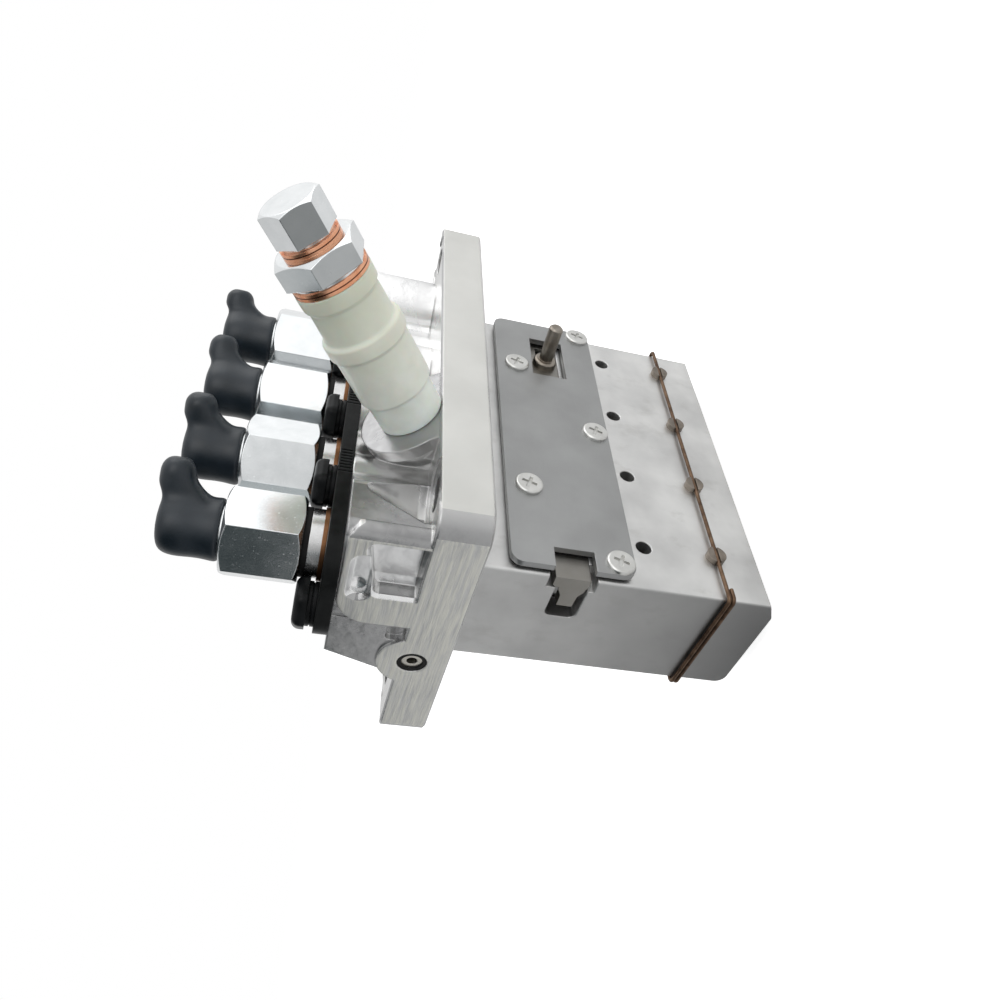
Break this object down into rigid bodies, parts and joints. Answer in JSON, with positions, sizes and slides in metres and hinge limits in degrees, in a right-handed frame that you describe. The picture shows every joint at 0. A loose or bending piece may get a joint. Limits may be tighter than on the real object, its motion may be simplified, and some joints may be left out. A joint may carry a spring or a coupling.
{
  "type": "diesel injection pump",
  "caption": "In-line diesel injection pump body with side flange, capped delivery valve holders, inclined fuel inlet, and a control rack behind a side cover.",
  "frame": {"origin": "middle of the row of pumping elements on the flange's lower face, which rests on the engine block", "axes": "+Z along the elements, towards the delivery unions; +X along the row, away from the front end; -Y is the side of the cover plate and the fuel inlet"},
  "size_m": [0.1313, 0.126, 0.147],
  "materials": {
    "cast_aluminium": "fine cast, milled faces",
    "zinc_plate": "zinc plated",
    "zinc_screws": "zinc plated",
    "rack_steel": "ground",
    "rack_pin_steel": "ground",
    "ground_steel": "ground and lapped",
    "plain_steel": "turned",
    "pin_steel": "turned",
    "bush_steel": "turned",
    "spring_steel": "drawn wire",
    "brown_wire": "annealed",
    "plated_steel": "bright zinc plated",
    "black_plates": "black oxide",
    "black_nuts": "black oxide",
    "bronze_rings": "dull bronze",
    "copper": "annealed copper",
    "seal_rubber": "matte",
    "sleeve_plastic": "translucent",
    "cap_vinyl": "soft satin"
  },
  "bodies": {
    "pump_body": {"housing": "cast_aluminium", "cover_plate": "zinc_plate", "cover_screws": "zinc_screws", "barrels": "ground_steel", "clamp_plates": "black_plates", "clamp_nuts": "black_nuts", "clamp_studs": "plain_steel", "spacer_rings": "bronze_rings", "seals": "seal_rubber", "valve_seats": "ground_steel", "upper_spring_seats": "plain_steel", "guide_pins": "pin_steel", "retaining_wire": "brown_wire", "inlet_sleeve": "sleeve_plastic", "inlet_bolt": "plated_steel", "bleed_plug": "plated_steel", "copper_washers": "copper", "ear_bushing": "bush_steel", "delivery_valve_holder_1": "plated_steel", "union_cap_1": "cap_vinyl", "delivery_valve_holder_2": "plated_steel", "union_cap_2": "cap_vinyl", "delivery_valve_holder_3": "plated_steel", "union_cap_3": "cap_vinyl", "delivery_valve_holder_4": "plated_steel", "union_cap_4": "cap_vinyl"},
    "rack": {"control_rack": "rack_steel", "rack_pin": "rack_pin_steel"},
    "sleeve_1": {"control_sleeve_1": "plain_steel"},
    "plunger_group_1": {"plunger_1": "ground_steel"},
    "tappet_group_1": {"tappet_1": "plain_steel", "tappet_pin_1": "plain_steel", "plunger_spring_1": "spring_steel"},
    "roller_1": {"tappet_roller_1": "ground_steel"},
    "valve_1": {"delivery_valve_1": "plain_steel", "delivery_valve_spring_1": "spring_steel"},
    "sleeve_2": {"control_sleeve_2": "plain_steel"},
    "plunger_group_2": {"plunger_2": "ground_steel"},
    "tappet_group_2": {"tappet_2": "plain_steel", "tappet_pin_2": "plain_steel", "plunger_spring_2": "spring_steel"},
    "roller_2": {"tappet_roller_2": "ground_steel"},
    "valve_2": {"delivery_valve_2": "plain_steel", "delivery_valve_spring_2": "spring_steel"},
    "sleeve_3": {"control_sleeve_3": "plain_steel"},
    "plunger_group_3": {"plunger_3": "ground_steel"},
    "tappet_group_3": {"tappet_3": "plain_steel", "tappet_pin_3": "plain_steel", "plunger_spring_3": "spring_steel"},
    "roller_3": {"tappet_roller_3": "ground_steel"},
    "valve_3": {"delivery_valve_3": "plain_steel", "delivery_valve_spring_3": "spring_steel"},
    "sleeve_4": {"control_sleeve_4": "plain_steel"},
    "plunger_group_4": {"plunger_4": "ground_steel"},
    "tappet_group_4": {"tappet_4": "plain_steel", "tappet_pin_4": "plain_steel", "plunger_spring_4": "spring_steel"},
    "roller_4": {"tappet_roller_4": "ground_steel"},
    "valve_4": {"delivery_valve_4": "plain_steel", "delivery_valve_spring_4": "spring_steel"}
  },
  "joints": [
    {"name": "rack_slide", "type": "slide", "parent": "pump_body", "child": "rack", "axis": [1, 0, 0], "range_m": [-0.005, 0.005]},
    {"name": "sleeve_turn_1", "type": "hinge", "parent": "pump_body", "child": "sleeve_1", "pos_m": [-0.0375, 0, -0.02], "axis": [0, 0, 1], "range_deg": [-23.2, 23.2]},
    {"name": "tappet_lift_1", "type": "slide", "parent": "pump_body", "child": "tappet_group_1", "axis": [0, 0, 1], "range_m": [0, 0.007], "stiffness_N_per_m": 6000, "springref_m": -0.01, "deforming": ["plunger_spring_1"]},
    {"name": "roller_spin_1", "type": "hinge", "parent": "tappet_group_1", "child": "roller_1", "pos_m": [-0.0375, 0, -0.0695], "axis": [1, 0, 0], "continuous": true},
    {"name": "plunger_stroke_1", "type": "slide", "parent": "sleeve_1", "child": "plunger_group_1", "axis": [0, 0, 1], "range_m": [-0.00001, 0.00701]},
    {"name": "valve_lift_1", "type": "slide", "parent": "pump_body", "child": "valve_1", "axis": [0, 0, 1], "range_m": [0, 0.002], "stiffness_N_per_m": 400, "springref_m": -0.005, "deforming": ["delivery_valve_spring_1"]},
    {"name": "sleeve_turn_2", "type": "hinge", "parent": "pump_body", "child": "sleeve_2", "pos_m": [-0.0125, 0, -0.02], "axis": [0, 0, 1], "range_deg": [-23.2, 23.2]},
    {"name": "tappet_lift_2", "type": "slide", "parent": "pump_body", "child": "tappet_group_2", "axis": [0, 0, 1], "range_m": [0, 0.007], "stiffness_N_per_m": 6000, "springref_m": -0.01, "deforming": ["plunger_spring_2"]},
    {"name": "roller_spin_2", "type": "hinge", "parent": "tappet_group_2", "child": "roller_2", "pos_m": [-0.0125, 0, -0.0695], "axis": [1, 0, 0], "continuous": true},
    {"name": "plunger_stroke_2", "type": "slide", "parent": "sleeve_2", "child": "plunger_group_2", "axis": [0, 0, 1], "range_m": [-0.00001, 0.00701]},
    {"name": "valve_lift_2", "type": "slide", "parent": "pump_body", "child": "valve_2", "axis": [0, 0, 1], "range_m": [0, 0.002], "stiffness_N_per_m": 400, "springref_m": -0.005, "deforming": ["delivery_valve_spring_2"]},
    {"name": "sleeve_turn_3", "type": "hinge", "parent": "pump_body", "child": "sleeve_3", "pos_m": [0.0125, 0, -0.02], "axis": [0, 0, 1], "range_deg": [-23.2, 23.2]},
    {"name": "tappet_lift_3", "type": "slide", "parent": "pump_body", "child": "tappet_group_3", "axis": [0, 0, 1], "range_m": [0, 0.007], "stiffness_N_per_m": 6000, "springref_m": -0.01, "deforming": ["plunger_spring_3"]},
    {"name": "roller_spin_3", "type": "hinge", "parent": "tappet_group_3", "child": "roller_3", "pos_m": [0.0125, 0, -0.0695], "axis": [1, 0, 0], "continuous": true},
    {"name": "plunger_stroke_3", "type": "slide", "parent": "sleeve_3", "child": "plunger_group_3", "axis": [0, 0, 1], "range_m": [-0.00001, 0.00701]},
    {"name": "valve_lift_3", "type": "slide", "parent": "pump_body", "child": "valve_3", "axis": [0, 0, 1], "range_m": [0, 0.002], "stiffness_N_per_m": 400, "springref_m": -0.005, "deforming": ["delivery_valve_spring_3"]},
    {"name": "sleeve_turn_4", "type": "hinge", "parent": "pump_body", "child": "sleeve_4", "pos_m": [0.0375, 0, -0.02], "axis": [0, 0, 1], "range_deg": [-23.2, 23.2]},
    {"name": "tappet_lift_4", "type": "slide", "parent": "pump_body", "child": "tappet_group_4", "axis": [0, 0, 1], "range_m": [0, 0.007], "stiffness_N_per_m": 6000, "springref_m": -0.01, "deforming": ["plunger_spring_4"]},
    {"name": "roller_spin_4", "type": "hinge", "parent": "tappet_group_4", "child": "roller_4", "pos_m": [0.0375, 0, -0.0695], "axis": [1, 0, 0], "continuous": true},
    {"name": "plunger_stroke_4", "type": "slide", "parent": "sleeve_4", "child": "plunger_group_4", "axis": [0, 0, 1], "range_m": [-0.00001, 0.00701]},
    {"name": "valve_lift_4", "type": "slide", "parent": "pump_body", "child": "valve_4", "axis": [0, 0, 1], "range_m": [0, 0.002], "stiffness_N_per_m": 400, "springref_m": -0.005, "deforming": ["delivery_valve_spring_4"]}
  ],
  "couplings": [
    {"joint": "sleeve_turn_1", "follows": "rack_slide", "rad_per_m": 80},
    {"joint": "plunger_stroke_1", "follows": "tappet_lift_1", "ratio": 1},
    {"joint": "sleeve_turn_2", "follows": "rack_slide", "rad_per_m": 80},
    {"joint": "plunger_stroke_2", "follows": "tappet_lift_2", "ratio": 1},
    {"joint": "sleeve_turn_3", "follows": "rack_slide", "rad_per_m": 80},
    {"joint": "plunger_stroke_3", "follows": "tappet_lift_3", "ratio": 1},
    {"joint": "sleeve_turn_4", "follows": "rack_slide", "rad_per_m": 80},
    {"joint": "plunger_stroke_4", "follows": "tappet_lift_4", "ratio": 1}
  ]
}
